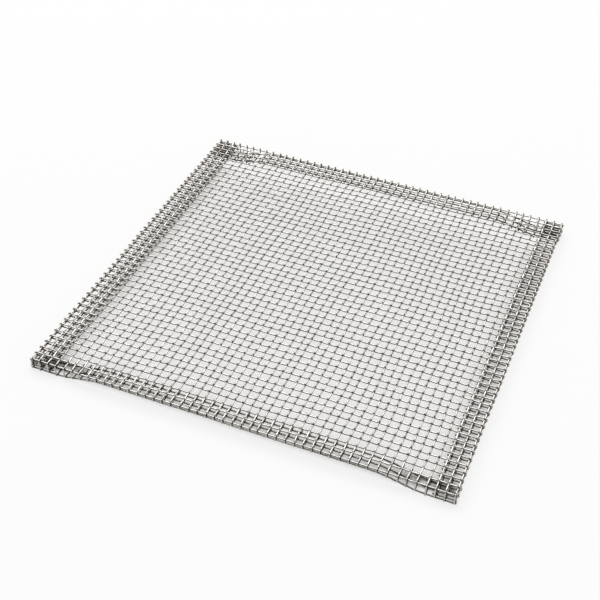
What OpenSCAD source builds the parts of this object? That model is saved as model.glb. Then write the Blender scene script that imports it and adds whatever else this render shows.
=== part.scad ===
// Wire gauze: a square of woven steel wire cloth whose four edges are folded under.
//
// The square is centred on the Z axis and lies on its four corners at z = 0. Warp wires run
// along Y and weft wires along X, and each wire lies in one upright plane. The left and right
// edges are folded first and the front and rear edges over them, so a corner is four cloths
// thick. Hem wires lie across the folded-under ends. The ends are pressed into the innermost
// hem wire, which holds them at their spacing.

/* [Cloth] */
// Outer side of the square, over its folded edges
side = 125; // [75:5:200]
// Diameter of the wire
wire_d = 0.45; // [0.3:0.05:0.6]
// Distance between neighbouring wires, centre to centre
pitch = 2.54; // [2:0.02:5]
// Least distance from the last straight wire to the folded edge
edge_room = 1.5; // [1.5:0.1:2.5]

/* [Hems] */
// Wires carried across each folded-under strip
hem_wires = 3; // [2:1:5]
// Length of the cut ends past the innermost hem wire
cut_end = 1.2; // [0.6:0.1:2]
// Clear height between the cloth and the strip folded under it
fold_gap = 0.3; // [0.1:0.05:1]
// Clear height between the strips of a corner, which is pressed flat
corner_gap = 0.08; // [0.05:0.01:0.3]
// Length over which the front and rear strips come down to each corner
drop_run = 15; // [12:1:20]
// Gap from the cut ends of a side strip to the foot of that drop
drop_clearance = 1; // [0.5:0.1:2]

/* [Weave] */
// Clearance between crossing wires that only touch
cross_clearance = 0.02; // [0.01:0.01:0.05]
// Depth to which the folded-under ends are pressed into the innermost hem wire
press_depth = 0.03; // [0.02:0.01:0.06]
// How far a kink in a wire stands out of its round
kink_swell = 0.01; // [0.005:0.005:0.015]

/* [Hidden] */
$fn = 48;

// Lengths are rounded to a thousandth of a millimetre, so that runs and bends meet exactly
function micron(length) = round(length * 1000) / 1000;

wire_r = micron(wire_d / 2);

// Where the straight wires lie, from the middle one outwards to the last
side_wires = floor((side / 2 - edge_room) / pitch);
wire_places = [for (i = [-side_wires : side_wires]) micron(i * pitch)];
last_wire = micron(side_wires * pitch);
// Where the free hem wires, the innermost one and the cut ends lie
free_hem_places = [for (i = [0 : hem_wires - 2]) micron(last_wire - i * pitch)];
inner_hem_place = micron(last_wire - (hem_wires - 1) * pitch);
hem_end = micron(inner_hem_place - cut_end);
// How far the centre line of a folded wire reaches, and that of a wire folded inside it
reach = micron(side / 2 - wire_r);
inner_reach = micron(reach - 2 * wire_r - corner_gap);

// Distance between the centre lines of crossing wires, and of wires pressed together
crossing = micron(2 * wire_r + cross_clearance);
pressed = micron(2 * wire_r - press_depth);
// Radius of a corner's inner folds, of the weft's fold and of the warp's fold round the weft
tight_fold = micron(wire_r + corner_gap / 2);
weft_fold = micron(wire_r + fold_gap / 2);
warp_fold = weft_fold + crossing;
// Centre heights in a corner, from the floor up: ends of the warp, front and rear hem wires and
// their ends, ends of the left and right hem wires and these wires, ends of the weft, weft, warp
low_warp_end = wire_r;
low_hem = low_warp_end + crossing;
low_hem_end = low_hem + 2 * tight_fold;
side_hem_end = low_hem_end + crossing;
side_hem = side_hem_end + 2 * tight_fold;
weft_end = side_hem + crossing;
weft_z = weft_end + 2 * weft_fold;
warp_z = weft_z + crossing;
// Away from the corners the front and rear strips lie as high as the left and right ones
drop = side_hem - low_warp_end;
drop_foot = micron(hem_end - drop_clearance);
drop_head = micron(drop_foot - drop_run);
drop_slope = atan2(drop, drop_run);

// Height of a front or rear strip over its height in the corners, at x along the hem
function strip_rise(x) = micron(drop * min(max(drop_foot - abs(x), 0) / drop_run, 1));

// A wire is a list of steps from a start [x, z, heading]: [length] is a straight run and
// [turn, radius] a bend, upwards where turn is positive. A bend of no radius is a kink.
function after(start, step) =
    let (
        is_run = len(step) == 1,
        heading = start[2] + (is_run ? 0 : step[0]),
        radius = is_run ? 0 : sign(step[0]) * step[1],
        run = is_run ? step[0] : 0,
        x = start[0] + run * cos(heading) + radius * (sin(heading) - sin(start[2])),
        z = start[1] + run * sin(heading) + radius * (cos(start[2]) - cos(heading))
    )
    [micron(x), micron(z), heading];

function starts(start, steps, i = 0) =
    i == len(steps) ? [] : concat([start], starts(after(start, steps[i]), steps, i + 1));

// The steps below draw a row of wires at once: it lies along Y, one wire at each of `places`
module run(places, length) {
    rotate([0, 90, 0])
        linear_extrude(length)
            for (y = places) translate([0, y]) circle(r = wire_r);
}

module bend(places, turn, radius) {
    translate([0, 0, sign(turn) * radius])
        rotate([90, 0, 0])
            rotate_extrude(angle = abs(turn), start = turn > 0 ? -90 : 90 + turn)
                for (y = places) translate([radius, -y]) circle(r = wire_r);
}

module kink(places) {
    for (y = places) translate([0, y, 0]) rotate([0, 90, 0]) sphere(r = wire_r + kink_swell);
}

module wires(places, start, steps) {
    step_starts = starts(start, steps);
    for (i = [0 : len(steps) - 1])
        translate([step_starts[i][0], 0, step_starts[i][1]])
            rotate([0, -step_starts[i][2], 0])
                if (len(steps[i]) == 1) run(places, steps[i][0]);
                else if (steps[i][1] == 0) kink(places);
                else bend(places, steps[i][0], steps[i][1]);
}

// A fold is a half turn. Where it goes round other strips, it has an upright run in its middle.
function fold(way, radius, upright) =
    upright == 0 ? [[way * 180, radius]] : [[way * 90, radius], [upright], [way * 90, radius]];

// Wires along X at height z, whose ends are folded under them (way = -1) or over them (way = 1).
// Their steps between the folds are one straight run, unless they are given as `middle`.
module folded_wires(places, z, way, radius, farthest = reach, upright = 0, middle = []) {
    folded = fold(way, radius, upright);
    bend_x = farthest - radius;
    wires(places, [-hem_end, z + way * (2 * radius + upright), 180], concat(
        [[bend_x - hem_end]], folded,
        len(middle) > 0 ? middle : [[2 * bend_x]],
        folded, [[bend_x - hem_end]]
    ));
}

// Wires of the front or rear strip, which come down to the corners at both their ends
module dropped_hem_wires(places, z) {
    radius = micron((low_hem_end - z) / 2);
    foot_run = reach - radius - drop_foot;
    slope_run = drop_run / cos(drop_slope);
    folded_wires(places, z, 1, radius, middle = [
        [foot_run], [drop_slope, 0], [slope_run], [-drop_slope, 0],
        [2 * drop_head],
        [-drop_slope, 0], [slope_run], [drop_slope, 0], [foot_run],
    ]);
}

// Wires of the left or right strip, folded inside the front and rear folds
module level_hem_wires(places, z) {
    rotate([0, 0, 90])
        folded_wires(places, z, -1, micron((z - side_hem_end) / 2), farthest = inner_reach);
}

// Warp wires whose ends all lie equally low
module warp_row(places) {
    rotate([0, 0, 90])
        folded_wires(places, warp_z, -1, warp_fold, upright = drop - strip_rise(places[0]));
}

// Between the drops and past their feet the warp's ends are level, and on each drop they follow it
module warp_wires() {
    color("gainsboro") {
        warp_row([for (x = wire_places) if (abs(x) <= drop_head) x]);
        warp_row([for (x = wire_places) if (abs(x) >= drop_foot) x]);
        for (x = wire_places)
            if (x > drop_head && x < drop_foot) warp_row([-x, x]);
        dropped_hem_wires([-inner_hem_place, inner_hem_place], low_warp_end + pressed);
    }
}

module weft_wires() {
    color("silver") {
        folded_wires(wire_places, weft_z, -1, weft_fold);
        level_hem_wires([-inner_hem_place, inner_hem_place], weft_end - pressed);
    }
}

module front_hem_wires() {
    color("darkgray") dropped_hem_wires(-free_hem_places, low_hem);
}

module rear_hem_wires() {
    color("darkgray") dropped_hem_wires(free_hem_places, low_hem);
}

module left_hem_wires() {
    color("gray") level_hem_wires(free_hem_places, side_hem);
}

module right_hem_wires() {
    color("gray") level_hem_wires(-free_hem_places, side_hem);
}

warp_wires();
weft_wires();
front_hem_wires();
rear_hem_wires();
left_hem_wires();
right_hem_wires();
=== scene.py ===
"""The looks of a wire gauze: crimped steel wires woven over and under, with its edges folded under.

Lengths are in millimetres, except where the word metres stands beside them. Warp wires run along Y and
weft wires along X. Both are counted from the middle wire, 0, and the last HEM_WIRES on each side lie
under a fold. The left and right edges are folded first and the front and rear edges over them, so that a
corner is four cloths thick.
"""

import math

import bpy
import numpy as np
from mathutils import Matrix, Vector

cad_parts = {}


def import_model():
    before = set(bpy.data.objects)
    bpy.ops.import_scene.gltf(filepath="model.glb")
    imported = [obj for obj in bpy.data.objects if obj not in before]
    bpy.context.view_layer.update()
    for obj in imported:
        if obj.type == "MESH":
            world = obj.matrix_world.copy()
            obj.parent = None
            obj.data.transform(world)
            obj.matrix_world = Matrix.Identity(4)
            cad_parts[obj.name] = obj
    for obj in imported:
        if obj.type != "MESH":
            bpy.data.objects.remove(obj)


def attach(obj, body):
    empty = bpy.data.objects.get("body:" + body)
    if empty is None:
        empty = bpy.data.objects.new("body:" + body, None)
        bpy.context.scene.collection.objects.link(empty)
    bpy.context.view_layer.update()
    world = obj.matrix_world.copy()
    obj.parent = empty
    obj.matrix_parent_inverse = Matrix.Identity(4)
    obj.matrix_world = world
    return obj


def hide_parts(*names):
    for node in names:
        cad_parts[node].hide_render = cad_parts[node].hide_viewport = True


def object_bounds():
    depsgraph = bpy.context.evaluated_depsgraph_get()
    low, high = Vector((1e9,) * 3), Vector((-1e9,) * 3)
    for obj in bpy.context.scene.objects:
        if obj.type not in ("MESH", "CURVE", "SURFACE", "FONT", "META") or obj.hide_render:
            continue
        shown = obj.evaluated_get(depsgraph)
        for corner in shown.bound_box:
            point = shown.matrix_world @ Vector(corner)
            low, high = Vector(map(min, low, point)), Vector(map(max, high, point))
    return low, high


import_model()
cad_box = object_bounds()

MM = 0.001
BODY = "root"

# The cloth
WIRE_D = 0.45
WIRE_R = WIRE_D / 2
TOP_WIRES = 24  # on each side of the middle wire
HEM_WIRES = 3
EDGE_ROOM = 0.80  # from the last straight wire to the folded edge
CUT_END = 1.2
WARP_CRIMP, WEFT_CRIMP = 0.14, 0.04  # how far a wire bends up or down at a crossing
HEM_CRIMP = 0.75  # share of that left in the hems, which are pressed flat
PRESSED = 0.62  # height of a wire's section where it is pressed on another, over WIRE_D
SPREAD = 1.10  # width of that section, over WIRE_D
DOT = 0.32  # reach of a crossing along a wire

# The frame gives the square's size and its height over the floor
HALF_SIDE = (cad_box[1].x - cad_box[0].x) / 2 / MM
HEIGHT = (cad_box[1].z - cad_box[0].z) / MM
LAST_WIRE = HALF_SIDE - EDGE_ROOM
PITCH = LAST_WIRE / TOP_WIRES
INNER_HEM_WIRE = LAST_WIRE - (HEM_WIRES - 1) * PITCH
HEM_WIDTH = HALF_SIDE - INNER_HEM_WIRE + CUT_END

# Middle heights of the cloth's layers: the top, a hem, and the two layers under a hem in a corner
LAYER_STEP = 1.05
TOP_Z = HEIGHT - WARP_CRIMP - WIRE_R
HEM_Z = TOP_Z - LAYER_STEP
LOW_Z = HEM_CRIMP * WARP_CRIMP + WIRE_R
INNER_Z = LOW_Z + LAYER_STEP

# Front and rear hems come down to the corners over this stretch of their length
DROP_CLEARANCE = 1  # from the cut ends of a side strip to the foot of that drop
DROP_RUN = 15
DROP_FOOT = INNER_HEM_WIRE - CUT_END - DROP_CLEARANCE

# Folds
FOLD_GAP = 0.08  # between the folds of a corner, one round the other
REACH = HALF_SIDE - WIRE_R
INNER_REACH = REACH - WIRE_D - FOLD_GAP
WIDEST_BEND = 1.0
BEFORE_BEND = 0.05  # least straight run from a crossing to a bend
WARP_NESTED, WEFT_NESTED = 0.15, 0.36  # how far the last wire on each side sinks into its fold
FOLD_PLAY = 0.03  # how far a fold may fall short of the edge
PLAY_WIRES = 20  # those further out fold close round the corner's inner folds

# How wires stray from their places
SEED = 20
STRAY = 0.10  # of one wire as a whole
WARP_SWAY, WEFT_SWAY = 0.12, 0.09  # of one wire along its length
SWAY_WAVES = (1, 2, 3.5)  # over that length
DRIFT = 0.16  # of neighbouring wires together
DRIFT_WAVES = ((1.0, 1.5), (2.5, 1.0), (3.5, 2.0))  # along the wires and across them
JITTER = 0.025  # of one crossing
MOST_STRAY = 0.55  # in the open field
EDGE_STRAY = 0.08  # near the folds
EDGE_WIRES = 3
WARP_HEM_SHIFT, WEFT_HEM_SHIFT = (0.4, 0.45), (-0.45, 0.2)  # of the innermost wires under each side

# How worn and stained the steel is, with painted shade on flanks, at crossings and under the top cloth,
# from 0 for bright to 1 for black
TONE, TONE_SPREAD = 0.12, 0.05  # of one wire
WARP_STAIN = 0.12  # how much darker the warp is in the open field than in the hems
HEM_CROSSING_CUT = 0.5  # share of the grime and painted contact shade at crossings that is taken away over the hems
HEM_WEIGHT_FADE = 1.5
FLANK_SHADE_BELOW, FLANK_SHADE_SPAN = 0.8, 0.5  # where painted shade starts on a wire's flank, by how far it faces upwards
SHELTER_START, SHELTER_SPAN = 0.35, 0.9  # depth under the top cloth over which painted shade darkens the wires
BARE_EDGE, BARE_SPAN = 0.3, 0.6  # from the folded edge inwards, where no cloth shelters a wire and no painted shade falls on it
# Shares of the painted flank shade, the painted shade under the top cloth and the fine noise in the
# steel's darkness
FLANK_SHARE, SHELTER_SHARE, FINE_SHARE = 0.7, 0.7, 0.5
PATCH_SCALE, FINE_SCALE = 260, 2600  # of noise, in cells for each metre
STEEL_COLOURS = (
    (0.0, (0.71, 0.69, 0.655)),
    (0.5, (0.275, 0.254, 0.226)),
    (1.0, (0.045, 0.038, 0.031)),
)
SMOOTHEST, ROUGHER = 0.27, 0.25  # roughness where bright, and what is added where black
BUMP_STRENGTH, BUMP_DEPTH = 0.15, 0.03

# Light
AMBIENT = 0.60
BRIGHT_WAY = (-0.25, 0.46, 0.85)  # the way to the bright part of the room, as metal sees it
ROOM = (-0.1, 0.7, 0.03, 1.05)  # from a direction's share along BRIGHT_WAY to the strength there
KEY_PLACE, KEY_SIZE = (-0.4, 0.75, 1.35), (2.2, 1.0)  # metres
KEY_WATTS, KEY_COLOUR = 20, (1.0, 0.99, 0.975)

# The floor, which is lifted towards white where it is seen, and less under the hems, where its colour also
# holds a painted shadow
FLOOR_HALF_SIDE = 3.0  # metres
FLOOR_WHITE = 0.98
FLOOR_LIFT, MIRRORED_LIFT = 0.77, 0.1  # as the camera sees it, and as the wires do
FLOOR_PALENESS_AND_SHADOW = (0.45, 0.9)  # its colour, darker as a painted shadow in the hollows under the hems, and in the open
OPENNESS_REACH, OPENNESS_SAMPLES = 6, 8  # wires within this reach over the floor close it in
OPENNESS = (0.50, 0.77, 0.0, 1.0)  # from the floor's openness to its share of the lift and of its colour outside the painted shadow
LIT_FRONT, LIT_REAR = 1, 10  # as in the photo, the floor is left without painted shadow this far in under the front and rear edges
LIT_FADE = 2.5

# The camera
LENS = 67.2
SENSOR_WIDTH = 36
AIM = (-2.15, -8.8, HEIGHT)
AZIMUTH, ELEVATION, ROLL = 21.37, 40.58, 1.55
DISTANCE = 0.3348  # metres

# Meshes
SIDES = 8
STEPS_PER_PITCH = 6
STEPS_PER_BEND = 4
TAIL_POINTS = 4
X_AXIS, Y_AXIS = np.array([1.0, 0, 0]), np.array([0, 1.0, 0])


# ---------------------------------------------------------------- the weave

counts = np.arange(-TOP_WIRES - HEM_WIRES, TOP_WIRES + HEM_WIRES + 1)
folded = np.abs(counts) > TOP_WIRES
hem_places = np.sign(counts) * (LAST_WIRE - (np.abs(counts) - TOP_WIRES - 1) * PITCH)
places = np.where(folded, hem_places, counts * PITCH)


def smoothstep(t):
    t = np.clip(t, 0, 1)
    return t * t * (3 - 2 * t)


def layer_heights():
    """Middle height of the cloth at the crossing of warp wire i and weft wire j, for all i and j."""
    rise = smoothstep((DROP_FOOT - np.abs(places)) / DROP_RUN)
    strip = LOW_Z + (HEM_Z - LOW_Z) * rise
    warp_folded, weft_folded = folded[:, None], folded[None, :]
    return np.where(
        weft_folded,
        np.where(warp_folded, INNER_Z, strip[:, None]),
        np.where(warp_folded, HEM_Z, TOP_Z),
    )


def straying(rng, sway, hem_shift):
    """How far each wire, by row, strays sideways at each of its crossings, by column."""
    wires = len(counts)
    turn = np.linspace(0, 2 * math.pi, wires)[None, :]
    stray = rng.uniform(-STRAY, STRAY, (wires, 1))
    for waves in SWAY_WAVES:
        size = rng.normal(0, sway / waves ** 0.5, (wires, 1))
        stray = stray + size * np.sin(waves * turn + rng.uniform(0, 2 * math.pi, (wires, 1)))
    for waves_along, waves_across in DRIFT_WAVES:
        phase = rng.uniform(0, 2 * math.pi)
        stray = stray + DRIFT * np.sin(waves_along * turn + waves_across * turn.T + phase)
    stray = stray + rng.normal(0, JITTER, (wires, wires))
    from_edge = TOP_WIRES - np.abs(counts)[:, None]
    limit = np.where(from_edge < EDGE_WIRES, EDGE_STRAY, MOST_STRAY)
    stray = limit * np.tanh(stray / limit)
    under = np.clip(-from_edge, 0, None) / HEM_WIRES
    return stray + under * np.where(counts < 0, *hem_shift)[:, None]


def wire_path(along, aside, height, reach):
    """Centre line of a wire through its crossings, and how near a crossing each point lies.

    Returns points as (along, aside, height), and a weight that is 1 at a crossing and 0 away from it.
    """
    points, nearness = [], []

    def add(a, s, h, gap):
        points.append(np.stack(np.broadcast_arrays(a, s, h), -1))
        nearness.append(np.exp(-((gap / DOT) ** 2)))

    def wave(k):
        t = np.arange(STEPS_PER_PITCH) / STEPS_PER_PITCH
        ease = (1 - np.cos(math.pi * t)) / 2
        add(
            along[k] + (along[k + 1] - along[k]) * t,
            aside[k] + (aside[k + 1] - aside[k]) * ease,
            height[k] + (height[k + 1] - height[k]) * ease,
            np.minimum(t, 1 - t) * abs(along[k + 1] - along[k]),
        )

    def fold(k):
        """Two quarter bends, with an upright run between them where the fold is taller than wide."""
        way = np.sign(along[k])
        drop = height[k] - height[k + 1]
        down = math.copysign(1, drop)
        room = reach - max(abs(along[k]), abs(along[k + 1])) - BEFORE_BEND
        radius = min(abs(drop) / 2, WIDEST_BEND, room)
        turn = np.linspace(0, math.pi / 2, STEPS_PER_BEND + 1)
        bend_out = reach - radius + radius * np.sin(turn)
        bend_down = down * radius * (1 - np.cos(turn))
        upright = abs(drop) > 2 * radius
        back = slice(None, None, -1) if upright else slice(-2, None, -1)
        out = np.concatenate([[abs(along[k])], bend_out, bend_out[back]])
        up = np.concatenate([[height[k]], height[k] - bend_down, (height[k + 1] + bend_down)[back]])
        side = np.linspace(aside[k], aside[k + 1], len(out))
        add(way * out, side, up, np.abs(out - abs(along[k])) + np.abs(up - height[k]))

    def tail(k, neighbour, order):
        """The cut end past the crossing k. `order` turns it to run the way of the wire."""
        inwards = -np.sign(along[k])
        t = np.linspace(0, CUT_END, TAIL_POINTS)[order]
        middle = (height[k] + height[neighbour]) / 2
        up = middle + (height[k] - middle) * np.cos(math.pi * t / PITCH)
        add(along[k] + inwards * t, aside[k], up, t)

    last = len(along) - 1
    tail(0, 1, slice(None, 0, -1))
    for k in range(last):
        if folded[k] != folded[k + 1]:
            fold(k)
        else:
            wave(k)
    tail(last, last - 1, slice(None))
    return np.concatenate(points), np.concatenate(nearness)


def woven_wires():
    """Paths of all warp wires and all weft wires, in count order, as points in X, Y, Z."""
    rng = np.random.default_rng(SEED)
    warp_count, weft_count = counts[:, None], counts[None, :]
    warp_folded, weft_folded = folded[:, None], folded[None, :]
    on_top = ~warp_folded & ~weft_folded
    warp_last = on_top & (np.abs(warp_count) == TOP_WIRES)
    weft_last = on_top & (np.abs(weft_count) == TOP_WIRES)

    # 1 where the warp wire passes over the weft wire and -1 where it passes under, and less in the hems.
    # Folding turns the cloth over, and the last wire on each side lies inside the fold.
    lift = np.where((warp_count + weft_count) % 2 == 0, 1, -1)
    lift = lift * np.where(warp_folded == weft_folded, 1, -1)
    lift = np.where(weft_last, 1, np.where(warp_last, -1, lift))
    in_hem = np.maximum(np.abs(warp_count), np.abs(weft_count)) > TOP_WIRES - HEM_WIRES
    lift = lift * np.where(in_hem, HEM_CRIMP, 1)

    middle = layer_heights()
    warp_z = middle + WARP_CRIMP * lift - WARP_NESTED * warp_last
    weft_z = middle - WEFT_CRIMP * lift - WEFT_NESTED * weft_last
    x = places[:, None] + straying(rng, WARP_SWAY, WARP_HEM_SHIFT)
    y = places[None, :] + straying(rng, WEFT_SWAY, WEFT_HEM_SHIFT).T
    warp_play, weft_play = rng.uniform(0, FOLD_PLAY, (2, len(counts)))
    warp_play[np.abs(counts) > PLAY_WIRES] = 0
    weft_play[np.abs(counts) > PLAY_WIRES] = 0

    warp, weft = [], []
    for k in range(len(counts)):
        warp_reach = INNER_REACH if folded[k] else REACH
        path, near = wire_path(y[k], x[k], warp_z[k], warp_reach - warp_play[k])
        warp.append((path[:, [1, 0, 2]], near))
        weft.append(wire_path(x[:, k], y[:, k], weft_z[:, k], REACH - weft_play[k]))
    return warp, weft


# ---------------------------------------------------------------- meshes

def tube(path, near, axis):
    """Rings of a wire along `path`, in a plane square to `axis`, flattened where it is near a crossing."""
    ahead = np.gradient(path, axis=0)
    ahead /= np.linalg.norm(ahead, axis=1, keepdims=True)
    normal = np.cross(ahead, axis)
    normal /= np.linalg.norm(normal, axis=1, keepdims=True)
    side = np.cross(ahead, normal)
    angle = np.arange(SIDES) * 2 * math.pi / SIDES
    tall = 1 + (PRESSED - 1) * near[:, None, None]
    wide = 1 + (SPREAD - 1) * near[:, None, None]
    ring = np.cos(angle)[None, :, None] * normal[:, None] * tall
    ring = ring + np.sin(angle)[None, :, None] * side[:, None] * wide
    return path[:, None] + WIRE_R * ring


def inside(points):
    """How far in from the nearest folded edge the points lie."""
    return HALF_SIDE - np.abs(points[..., :2]).max(axis=-1)


def painted_under_shade(points):
    """Painted shade under the top cloth, by how far points lie under it: 1 deep under it, 0 in it and on
    the folded edges.
    """
    depth = smoothstep((TOP_Z - points[..., 2] - SHELTER_START) / SHELTER_SPAN)
    return depth * smoothstep((inside(points) - BARE_EDGE) / BARE_SPAN)


def hem_weight(points):
    """1 at the folded edges and over the hems, 0 in the open field."""
    return smoothstep((HEM_WIDTH - inside(points)) / HEM_WEIGHT_FADE)


def painted_flank_shade(rings, path):
    """Painted shade: 1 on the flanks and undersides of level wires, 0 on their tops and on upright wires.
    """
    upwards = (rings[..., 2] - path[:, None, 2]) / np.linalg.norm(rings - path[:, None], axis=-1)
    ahead = np.gradient(path, axis=0)
    level = 1 - (ahead[:, 2] / np.linalg.norm(ahead, axis=1)) ** 2
    return level[:, None] * smoothstep((FLANK_SHADE_BELOW - upwards) / FLANK_SHADE_SPAN)


def wires_mesh(name, wires, axis, tones, stain):
    """One mesh of separate wires, with the attributes that the steel's nodes read."""
    verts, quads, caps = [], [], []
    tone_grime_and_shade = {"crossing": [], "tone": [], "painted_under_shade": [], "flank": []}
    count = 0
    for (path, near), wire_tone in zip(wires, tones):
        rings = tube(path, near, axis)
        ids = count + np.arange(len(rings) * SIDES).reshape(len(rings), SIDES)
        beside = np.roll(ids, -1, axis=1)
        quads.append(np.stack([ids[:-1], beside[:-1], beside[1:], ids[1:]], -1).reshape(-1, 4))
        caps += [list(ids[0]), list(ids[-1][::-1])]
        verts.append(rings.reshape(-1, 3))
        hem_share = hem_weight(rings)
        # Grime and painted contact shade at crossings, less over the hems
        tone_grime_and_shade["crossing"].append(near[:, None] * (1 - HEM_CROSSING_CUT * hem_share))
        tone_grime_and_shade["tone"].append(wire_tone + stain * (1 - hem_share))
        tone_grime_and_shade["painted_under_shade"].append(painted_under_shade(rings))
        tone_grime_and_shade["flank"].append(painted_flank_shade(rings, path))
        count += ids.size
    quads = np.concatenate(quads)
    mesh = bpy.data.meshes.new(name)
    mesh.from_pydata(np.concatenate(verts) * MM, [], quads.tolist() + caps)
    for attribute, values in tone_grime_and_shade.items():
        layer = mesh.attributes.new(attribute, "FLOAT", "POINT")
        layer.data.foreach_set("value", np.concatenate(values).ravel().astype(np.float32))
    mesh.polygons.foreach_set("use_smooth", [True] * len(quads) + [False] * len(caps))
    mesh.validate()
    piece = bpy.data.objects.new(name, mesh)
    bpy.context.scene.collection.objects.link(piece)
    return piece


# ---------------------------------------------------------------- nodes

class NodeTree:
    """The nodes of a material or of the world, with short ways to add to them."""

    def __init__(self, owner):
        owner.use_nodes = True
        self.nodes = owner.node_tree.nodes
        self.links = owner.node_tree.links

    def feed(self, socket, value):
        """Links another node's output to a socket, or sets the socket to a constant."""
        if isinstance(value, bpy.types.NodeSocket):
            self.links.new(value, socket)
        else:
            socket.default_value = value

    def add(self, kind, inputs=None, **settings):
        node = self.nodes.new("ShaderNode" + kind)
        for name, value in settings.items():
            setattr(node, name, value)
        for socket, value in (inputs or {}).items():
            self.feed(node.inputs[socket], value)
        return node

    def math(self, operation, a, b=0.0, clamp=False):
        return self.add("Math", {0: a, 1: b}, operation=operation, use_clamp=clamp).outputs[0]

    def map_range(self, value, limits, interpolation="LINEAR"):
        """`limits` are the range that `value` comes from and the range that it goes to."""
        inputs = dict(zip(("From Min", "From Max", "To Min", "To Max"), limits))
        inputs["Value"] = value
        return self.add("MapRange", inputs, interpolation_type=interpolation).outputs[0]

    def ramp(self, value, stops):
        node = self.add("ValToRGB", {"Fac": value})
        elements = node.color_ramp.elements
        for element, (place, colour) in zip(elements, (stops[0], stops[-1])):
            element.position = place
            element.color = (*colour, 1)
        for place, colour in stops[1:-1]:
            elements.new(place).color = (*colour, 1)
        return node.outputs["Color"]

    def noise(self, scale, detail):
        vector = self.add("TexCoord").outputs["Object"]
        return self.add("TexNoise", {"Vector": vector, "Scale": scale, "Detail": detail}).outputs["Fac"]

    def attribute(self, name):
        return self.add("Attribute", attribute_name=name).outputs["Fac"]

    def mix(self, share, first, second):
        return self.add("MixShader", {0: share, 1: first, 2: second}).outputs[0]


# ---------------------------------------------------------------- the steel

def steel():
    """Drawn steel wire: bright satin on top, with painted shade on its flanks and under the top cloth in
    the hems, and grime with painted contact shade at crossings.
    """
    material = bpy.data.materials.new("drawn_steel")
    tree = NodeTree(material)
    fine = tree.noise(FINE_SCALE, 2)
    patches = tree.math("ADD", tree.noise(PATCH_SCALE, 3), 0.5)
    # grime and painted contact shade at crossings, in patches
    dark = tree.math("MULTIPLY", tree.attribute("crossing"), patches)
    dark = tree.math("ADD", dark, tree.math("MULTIPLY", tree.math("SUBTRACT", fine, 0.5), FINE_SHARE))
    dark = tree.math("ADD", dark, tree.attribute("tone"))
    # painted shade on the flanks and undersides of the wires
    dark = tree.math("ADD", dark, tree.math("MULTIPLY", tree.attribute("flank"), FLANK_SHARE))
    # painted shade on wires under the top cloth
    under_shade_share = tree.math("MULTIPLY", tree.attribute("painted_under_shade"), SHELTER_SHARE)
    dark = tree.math("ADD", dark, under_shade_share, clamp=True)
    rough = tree.math("ADD", tree.math("MULTIPLY", dark, ROUGHER), SMOOTHEST)
    bump = tree.add("Bump", {"Strength": BUMP_STRENGTH, "Distance": BUMP_DEPTH * MM, "Height": fine})
    shader = tree.nodes["Principled BSDF"]
    for socket, value in (
        ("Metallic", 1.0),
        ("Base Color", tree.ramp(dark, STEEL_COLOURS)),
        ("Roughness", rough),
        ("Normal", bump.outputs["Normal"]),
    ):
        tree.feed(shader.inputs[socket], value)
    return material


# ---------------------------------------------------------------- the studio

def camera():
    data = bpy.data.cameras.new("camera")
    data.sensor_width = SENSOR_WIDTH
    data.lens = LENS
    data.clip_start = 0.01
    data.clip_end = 20
    azimuth, elevation, roll = (math.radians(angle) for angle in (AZIMUTH, ELEVATION, ROLL))
    back = Vector((
        math.sin(azimuth) * math.cos(elevation),
        -math.cos(azimuth) * math.cos(elevation),
        math.sin(elevation),
    ))
    eye = bpy.data.objects.new("camera", data)
    bpy.context.scene.collection.objects.link(eye)
    turn = (-back).to_track_quat("-Z", "Y").to_matrix().to_4x4() @ Matrix.Rotation(roll, 4, "Z")
    eye.matrix_world = Matrix.Translation(Vector(AIM) * MM + back * DISTANCE) @ turn
    bpy.context.scene.camera = eye


def key_lamp():
    """A wide soft lamp over the rear left, turned to the middle of the gauze."""
    data = bpy.data.lights.new("key", "AREA")
    data.shape = "RECTANGLE"
    data.size, data.size_y = KEY_SIZE
    data.energy = KEY_WATTS
    data.color = KEY_COLOUR
    light = bpy.data.objects.new("key", data)
    light.location = KEY_PLACE
    light.rotation_euler = (-Vector(KEY_PLACE)).to_track_quat("-Z", "Y").to_euler()
    bpy.context.scene.collection.objects.link(light)


def world():
    """White where it is seen and a soft light elsewhere. Metal sees it dim towards the front."""
    made = bpy.data.worlds.new("studio")
    bpy.context.scene.world = made
    tree = NodeTree(made)
    direction = tree.add("TexCoord").outputs["Generated"]
    share = tree.add("VectorMath", {0: direction, 1: BRIGHT_WAY}, operation="DOT_PRODUCT")
    brightness = tree.map_range(share.outputs["Value"], ROOM, "SMOOTHSTEP")
    backgrounds = [tree.nodes["Background"], tree.add("Background"), tree.add("Background")]
    for node, strength in zip(backgrounds, (AMBIENT, brightness, 1.0)):
        tree.feed(node.inputs["Color"], (1, 1, 1, 1))
        tree.feed(node.inputs["Strength"], strength)
    ambient, room, white = (node.outputs[0] for node in backgrounds)
    ray = tree.add("LightPath").outputs
    light = tree.mix(ray["Is Glossy Ray"], ambient, room)
    seen = tree.mix(ray["Is Camera Ray"], light, white)
    tree.feed(tree.nodes["World Output"].inputs["Surface"], seen)


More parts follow.
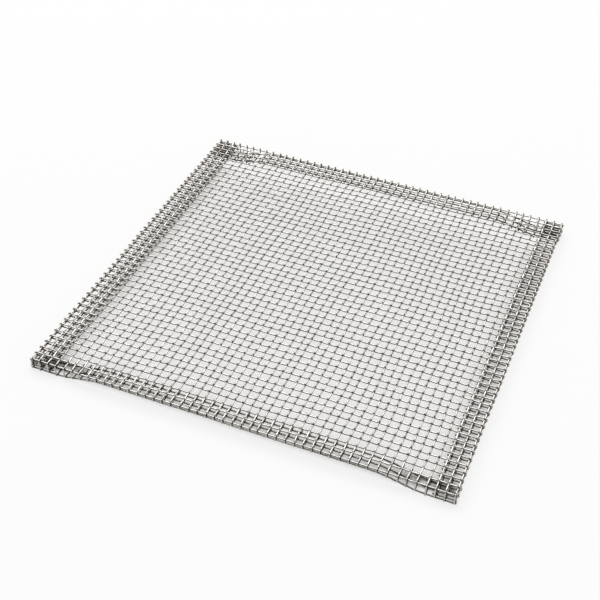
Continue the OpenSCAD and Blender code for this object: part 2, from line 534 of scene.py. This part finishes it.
def painted_floor_light(tree):
    """Painted light and shadow on the floor, as a share of its full light: 1 in the open, and less where
    wires stand close over it.

    It stays 1 outside the gauze, and for LIT_FRONT and LIT_REAR in under those edges.
    """
    ao = tree.add("AmbientOcclusion", {"Distance": OPENNESS_REACH * MM}, samples=OPENNESS_SAMPLES)
    openness = tree.map_range(ao.outputs["AO"], OPENNESS, "SMOOTHSTEP")
    place = tree.add("SeparateXYZ", {0: tree.add("TexCoord").outputs["Object"]}).outputs
    towards_edge = tree.math("ABSOLUTE", place["X"])
    for side in (
        tree.math("ADD", place["Y"], LIT_REAR * MM),
        tree.math("SUBTRACT", LIT_FRONT * MM, place["Y"]),
    ):
        towards_edge = tree.math("MAXIMUM", towards_edge, side)
    return tree.map_range(towards_edge, ((HALF_SIDE - LIT_FADE) * MM, HALF_SIDE * MM, openness, 1.0))


def floor():
    """A pale floor that keeps the shadow and is lifted towards white where it is seen, less so under the
    hems, where its colour holds a painted shadow.
    """
    size = FLOOR_HALF_SIDE
    mesh = bpy.data.meshes.new("floor")
    corners = [(-size, -size, 0), (size, -size, 0), (size, size, 0), (-size, size, 0)]
    mesh.from_pydata(corners, [], [(0, 1, 2, 3)])
    piece = bpy.data.objects.new("floor", mesh)
    bpy.context.scene.collection.objects.link(piece)
    material = bpy.data.materials.new("floor")
    mesh.materials.append(material)
    tree = NodeTree(material)
    light = painted_floor_light(tree)
    shader = tree.nodes["Principled BSDF"]
    for socket, value in (
        ("Roughness", 1.0),
        ("Specular IOR Level", 0.0),
        # the floor's colour holds a painted shadow under the hems
        ("Base Color", tree.map_range(light, (0.0, 1.0, *FLOOR_PALENESS_AND_SHADOW))),
    ):
        tree.feed(shader.inputs[socket], value)
    ray = tree.add("LightPath").outputs
    # the lift is less under the hems, by the same painted light and shadow
    seen = tree.math("MULTIPLY", tree.math("MULTIPLY", ray["Is Camera Ray"], FLOOR_LIFT), light)
    mirrored = tree.math("MULTIPLY", ray["Is Glossy Ray"], MIRRORED_LIFT)
    glow = tree.add("Emission", {"Strength": FLOOR_WHITE}).outputs[0]
    lifted = tree.mix(tree.math("MAXIMUM", seen, mirrored), shader.outputs[0], glow)
    tree.feed(tree.nodes["Material Output"].inputs["Surface"], lifted)


# ---------------------------------------------------------------- the gauze

def add_wires(name, cloth, chosen, rng, *nodes):
    """A piece made of the chosen wires, by count, that stands for the named CAD nodes."""
    wires, axis, stain = cloth
    picked = [wire for wire, count in zip(wires, counts) if chosen(count)]
    tones = rng.normal(TONE, TONE_SPREAD, len(picked))
    piece = wires_mesh(name, picked, axis, tones, stain)
    piece.data.materials.append(steel_material)
    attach(piece, BODY)
    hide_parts(*nodes)


steel_material = steel()
warp_wires, weft_wires = woven_wires()
warp = (warp_wires, X_AXIS, WARP_STAIN)
weft = (weft_wires, Y_AXIS, 0)
tone_rng = np.random.default_rng(SEED + 1)
for name, cloth, chosen, node in (
    ("warp_left", warp, lambda c: -TOP_WIRES <= c <= 0, "warp_wires"),
    ("warp_right", warp, lambda c: 0 < c <= TOP_WIRES, "warp_wires"),
    ("weft_front", weft, lambda c: -TOP_WIRES <= c <= 0, "weft_wires"),
    ("weft_rear", weft, lambda c: 0 < c <= TOP_WIRES, "weft_wires"),
    ("hem_left", warp, lambda c: c < -TOP_WIRES, "left_hem_wires"),
    ("hem_right", warp, lambda c: c > TOP_WIRES, "right_hem_wires"),
    ("hem_front", weft, lambda c: c < -TOP_WIRES, "front_hem_wires"),
    ("hem_rear", weft, lambda c: c > TOP_WIRES, "rear_hem_wires"),
):
    add_wires(name, cloth, chosen, tone_rng, node)

floor()
world()
key_lamp()
camera()
bpy.context.scene.view_settings.view_transform = "Standard"
